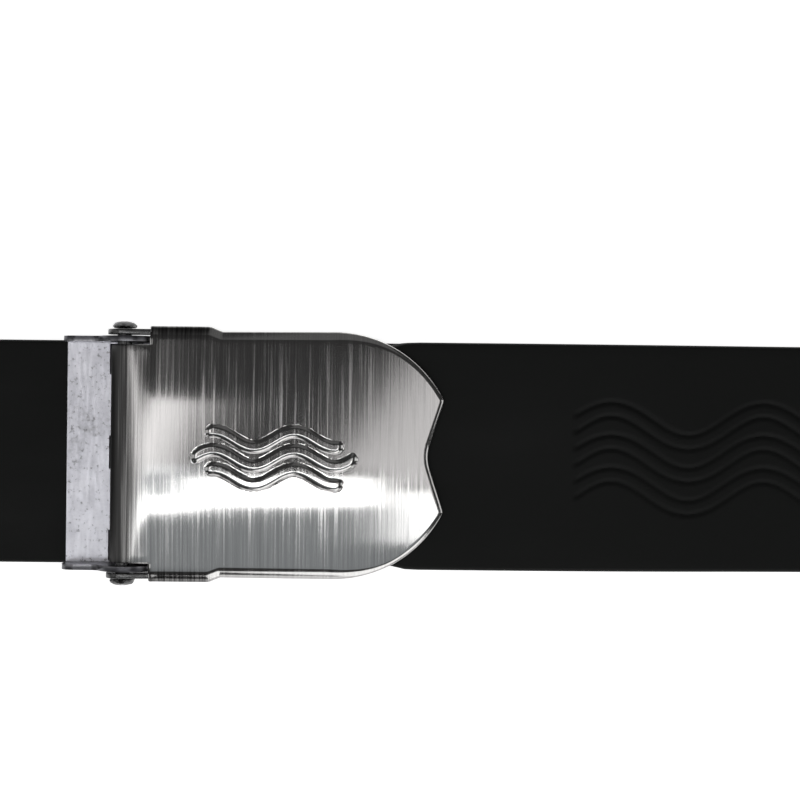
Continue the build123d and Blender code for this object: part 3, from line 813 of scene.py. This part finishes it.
def make_lever(material):
    """The lever's sheet: lip, curl, shoulder and face in one skin with rounded rims."""
    columns = lever_columns()
    side, end = lever_borders()
    curl_points, curl_angles, curl_travel = curl_path()
    face_from = curl_points[-1, 0] - PIN_X
    flat_u = np.linspace(face_from, WING_FROM, 8)[1:]
    even_rows = np.linspace(0.0, ROWS_EVEN_TO, ROWS_EVEN)
    rows = np.concatenate([even_rows, ROWS_LENGTH - RIM_STEPS[::-1]]) / ROWS_LENGTH
    part = (columns / BORDER_HALF + 1) / 2
    far_side = along(side, rows)
    near_side = far_side * (1, -1)
    across = 1 - np.abs(columns) / BORDER_HALF
    end_points = along(end, across)
    end_points[:, 1] *= np.sign(columns)
    start_points = np.column_stack([np.full(len(columns), WING_FROM), columns])
    s = rows[:, None, None]
    t = part[None, :, None]
    corners = (
        (1 - s) * (1 - t) * start_points[0]
        + (1 - s) * t * start_points[-1]
        + s * (1 - t) * end_points[0]
        + s * t * end_points[-1]
    )
    patch = (1 - s) * start_points[None] + s * end_points[None]
    patch = patch + (1 - t) * near_side[:, None, :] + t * far_side[:, None, :] - corners

    # Rows of the bent edge come first; they have only the columns inside the barrel.
    bent = len(curl_points)
    straight = len(flat_u) - 1
    travel_to_face = curl_travel[-1]
    total_rows = bent + straight + len(rows)
    count = len(columns)
    flat = np.zeros((total_rows, count, 2))
    flat[:bent, :, 0] = curl_travel[:, None]
    flat[:bent, :, 1] = columns
    flat[bent : bent + straight, :, 0] = (travel_to_face + flat_u[:-1] - face_from)[:, None]
    flat[bent : bent + straight, :, 1] = columns
    flat[bent + straight :, :, 0] = patch[:, :, 0] - face_from + travel_to_face
    flat[bent + straight :, :, 1] = patch[:, :, 1]

    middle = np.zeros((total_rows, count, 3))
    normal = np.zeros((total_rows, count, 3))
    middle[:bent, :, 0] = curl_points[:, None, 0]
    middle[:bent, :, 1] = columns
    over_pin = (np.arange(bent) > curl_points[:, 0].argmin()) * crown_share(curl_points[:, 0] - PIN_X)
    middle[:bent, :, 2] = curl_points[:, None, 1] - over_pin[:, None] * columns**2 / (2 * BOW_Y)
    normal[:bent, :, 0] = -np.sin(curl_angles)[:, None]
    normal[:bent, :, 1] = over_pin[:, None] * columns / BOW_Y
    normal[:bent, :, 2] = np.cos(curl_angles)[:, None]
    u = flat[bent:, :, 0] - travel_to_face + face_from
    y = flat[bent:, :, 1]
    middle[bent:, :, 0] = PIN_X + u
    middle[bent:, :, 1] = y
    rim_line = np.vstack([side, end[1:], end[-2::-1] * (1, -1), side[-2::-1] * (1, -1)])
    middle[bent:, :, 2] = face_height(u, y, rim_line)
    small = 0.03
    for axis, (step_u, step_y) in enumerate(((small, 0.0), (0.0, small))):
        before = face_height(u - step_u, y - step_y, rim_line)
        after = face_height(u + step_u, y + step_y, rim_line)
        normal[bent:, :, axis] = (before - after) / (2 * small)
    normal[bent:, :, 2] = 1.0
    normal /= np.linalg.norm(normal, axis=2, keepdims=True)

    # The outline of the whole sheet laid flat, for the rounding of its rims.
    flat_shift = travel_to_face - face_from
    side_flat = along(side, np.linspace(0, 1, 260)) + (flat_shift, 0)
    end_flat = along(end, np.linspace(0, 1, 80)) + (flat_shift, 0)
    barrel = [(0.0, 0.0), (0.0, BARREL_HALF), (WING_FROM + flat_shift, BARREL_HALF)]
    half_outline = np.vstack([barrel, side_flat, end_flat[1:]])
    outline = np.vstack([half_outline, half_outline[:0:-1] * (1, -1)])
    rim_gap = outline_distance(flat.reshape(-1, 2), outline).reshape(total_rows, count)
    thick = (SHEET / 2 - edge_drop(rim_gap, RIM_ROUND))[:, :, None]
    top = middle + normal * thick
    bottom = middle - normal * thick

    # Both sides get the same quads, and a band of quads joins them all round.
    inside = np.abs(columns) <= BARREL_HALF + 1e-6
    used = np.ones((total_rows, count), dtype=bool)
    used[: bent + straight, ~inside] = False
    numbers = np.full((total_rows, count), -1)
    numbers[used] = np.arange(used.sum())
    back = used.sum()
    quads = []
    for row in range(total_rows - 1):
        for column in range(count - 1):
            quad = (
                numbers[row, column],
                numbers[row + 1, column],
                numbers[row + 1, column + 1],
                numbers[row, column + 1],
            )
            if min(quad) >= 0:
                quads.append(tuple(int(corner) for corner in quad))
    edges = {(quad[i], quad[(i + 1) % 4]) for quad in quads for i in range(4)}
    faces = list(quads)
    faces += [tuple(int(corner + back) for corner in reversed(quad)) for quad in quads]
    for one, two in sorted(edges):
        if (two, one) not in edges:
            faces.append((two, one, int(one + back), int(two + back)))
    points = np.vstack([top[used], bottom[used]])
    pairs = np.vstack([flat[used], flat[used]])
    lever = add_piece("lever_cover", points, faces, material, pairs, smooth_angle=50.0)
    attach(lever, "lever")
    return lever


# The skirts stand under the wings, between SKIRT_INNER and SKIRT_OUTER from the middle.
SKIRT_INNER = 26.0
SKIRT_OUTER = 27.2
SKIRT_TO = 19.5
SKIRT_ROUND = 0.0002
LUG_RADIUS = 3.4
LUG_BORE = 1.66


def make_teeth(material):
    """The teeth along the lip's edge, as wedges that stand on it."""
    last = TOOTH_PITCH * int(BARREL_HALF / TOOTH_PITCH)
    tip_half = (TOOTH_PITCH - TOOTH_WIDTH) / 2
    base_half = TOOTH_PITCH / 2
    wedges = []
    for centre in np.arange(TOOTH_PITCH / 2, last, TOOTH_PITCH):
        for side in (1, -1):
            middle = side * centre
            wedges.append((middle - base_half, middle + base_half, middle - tip_half, middle + tip_half))
    wedges.append((last, BARREL_HALF, last + TOOTH_WIDTH / 2, BARREL_HALF))
    wedges.append((-BARREL_HALF, -last, -BARREL_HALF, -last - TOOTH_WIDTH / 2))
    heading = math.radians(CURL_FROM - 90)
    aside = np.array([-math.sin(heading), math.cos(heading)]) * SHEET / 2
    base = np.array(lip_place(LIP_LENGTH - TOOTH_DEPTH - RIM_ROUND))
    tip = np.array(lip_place(LIP_LENGTH))
    points = []
    faces = []
    for base_from, base_to, tip_from, tip_to in wedges:
        first = len(points)
        for place, y in ((base, base_from), (base, base_to), (tip, tip_to), (tip, tip_from)):
            for side in (1, -1):
                x, z = place + side * aside
                points.append((x, y, z))
        faces += [
            tuple(first + corner for corner in face)
            for face in ((0, 2, 4, 6), (7, 5, 3, 1), (0, 1, 3, 2), (2, 3, 5, 4), (4, 5, 7, 6), (6, 7, 1, 0))
        ]
    flat = np.array(points)[:, :2]
    teeth = add_piece("lever_teeth", points, faces, material, flat, smooth_angle=20.0)
    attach(teeth, "lever")


def arc_points(radius, turns):
    """Points on a circle round the pin, at angles in degrees."""
    angles = [math.radians(turn) for turn in turns]
    return [(radius * math.cos(angle), radius * math.sin(angle)) for angle in angles]


def make_skirts(material):
    """The folded-down skirts under the wings, each with a lug round the pin."""
    lug = arc_points(LUG_RADIUS, range(100, 266, 8))
    lower = [(0.0, -LUG_RADIUS), (6.0, -2.9), (12.0, -2.3), (SKIRT_TO - 3.2, -1.6), (SKIRT_TO - 1.2, -0.6)]
    upper = [(SKIRT_TO, 0.8), (SKIRT_TO, 1.7), (12.0, 2.0), (WING_FROM, 2.2), (WING_FROM - 2.6, 2.6)]
    bore = arc_points(LUG_BORE, range(0, 360, 12))
    for name, side in (("lever_skirt_far", 1), ("lever_skirt_near", -1)):
        data = bpy.data.curves.new(name, "CURVE")
        data.dimensions = "2D"
        data.fill_mode = "BOTH"
        data.extrude = (SKIRT_OUTER - SKIRT_INNER) / 2 * MM - SKIRT_ROUND
        data.bevel_depth = SKIRT_ROUND
        data.bevel_resolution = 2
        for loop in (lug + lower + upper, bore):
            spline = data.splines.new("POLY")
            spline.points.add(len(loop) - 1)
            spline.use_cyclic_u = True
            for point, (along_u, up) in zip(spline.points, loop):
                point.co = (along_u * MM, up * MM, 0.0, 1.0)
        shape = bpy.data.objects.new(name + "_shape", data)
        bpy.context.collection.objects.link(shape)
        bpy.context.view_layer.update()
        mesh = bpy.data.meshes.new_from_object(shape)
        bpy.data.objects.remove(shape)
        middle_y = side * (SKIRT_INNER + SKIRT_OUTER) / 2 * MM
        for vertex in mesh.vertices:
            along_u, up, out = vertex.co
            vertex.co = (PIN_X * MM + along_u, middle_y - out, PIN_Z * MM + up)
        mesh.name = name
        mesh.materials.clear()
        mesh.materials.append(material)
        mesh.shade_smooth()
        mesh.set_sharp_from_angle(angle=math.radians(35.0))
        skirt = bpy.data.objects.new(name, mesh)
        bpy.context.collection.objects.link(skirt)
        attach(skirt, "lever")


# ---------------------------------------------------------------- frame, pin and rivets

PIN_RADIUS = 1.6
PIN_SIDES = 48
HEAD_FROM = 27.4
HEAD_LEAST = 0.02
HEAD_LIFT = 1.2
HEAD_LIFT_FROM = 0.3
WELD_UNDER = 0.00001
BEVEL_OVER = 40.0

# The head's radius at distances past HEAD_FROM.
HEAD_SHAPE = [
    (-0.02, PIN_RADIUS),
    (0.0, 2.3),
    (0.15, 2.6),
    (0.45, 2.65),
    (0.8, 2.45),
    (1.1, 2.05),
    (1.3, 1.4),
    (1.42, 0.7),
    (1.46, 0.05),
]


def head_wobble(angle, y):
    """How far the hammered head is out of round at a place, as a share of its radius."""
    spot = Vector((math.cos(angle) * 1.3, math.sin(angle) * 1.3, y * 0.9))
    return 0.16 * smooth_noise.noise(spot * 1.6) + 0.06 * smooth_noise.noise(spot * 5.0)


def make_pin(material):
    """The hinge pin with heads hammered over by hand, so that they aren't quite round."""
    profile = [(0.0, PIN_RADIUS), (HEAD_FROM - 0.5, PIN_RADIUS)]
    profile += [(HEAD_FROM + past, radius) for past, radius in HEAD_SHAPE]
    outline = [(-y, radius) for y, radius in reversed(profile)] + profile[1:]
    rings = []
    for y, radius in outline:
        ring = []
        for step in range(PIN_SIDES):
            angle = 2 * math.pi * step / PIN_SIDES
            wobble = head_wobble(angle, y) if abs(y) >= HEAD_FROM else 0.0
            reach = max(radius * (1 + wobble), HEAD_LEAST)
            lift = 0.0 if abs(y) < HEAD_FROM + HEAD_LIFT_FROM else wobble * HEAD_LIFT
            place_y = y + math.copysign(lift, y)
            ring.append((PIN_X + reach * math.cos(angle), place_y, PIN_Z + reach * math.sin(angle)))
        rings.append(ring)
    faces = tube_faces(len(rings), PIN_SIDES)
    points = np.array(rings).reshape(-1, 3)
    points[:, 1] = np.clip(points[:, 1], pin_low.y, pin_high.y)
    pin = add_piece("hinge_pin_peened", points, faces, material)
    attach(pin, "belt")
    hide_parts("hinge_pin")


def dress_node(node, material, bevel=None):
    """Gives a CAD node its material, and softens its edges if a bevel width is given."""
    piece = frame["nodes"][node]
    piece.data.materials.clear()
    piece.data.materials.append(material)
    if bevel:
        weld = piece.modifiers.new("weld", "WELD")
        weld.merge_threshold = WELD_UNDER
        soften = piece.modifiers.new("soften", "BEVEL")
        soften.width = bevel * MM
        soften.segments = 2
        soften.limit_method = "ANGLE"
        soften.angle_limit = math.radians(BEVEL_OVER)
        soften.harden_normals = False


make_camera()
make_stage()
make_strap(rubber_material())
steel = brushed_material("lever_steel", (0.72, 0.71, 0.70), 0.095)
cover = make_lever(steel)
# The skirts are the lever's own steel; their dark tint is painted shade.
make_skirts(bright_material("lever_lugs_painted_shade", (0.17, 0.17, 0.17), 0.2))
make_teeth(steel)
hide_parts("lever")
make_pin(bright_material("pin_steel", (0.15, 0.15, 0.15), 0.20))
dress_node("buckle_frame", plate_material(), 0.18)
for number in (1, 2):
    rivet = bright_material(f"rivet_steel_{number}", (0.6, 0.6, 0.6), 0.25)
    dress_node(f"rivet_post_{number}", rivet, 0.12)
    dress_node(f"rivet_cap_{number}", rivet)

bpy.context.view_layer.update()
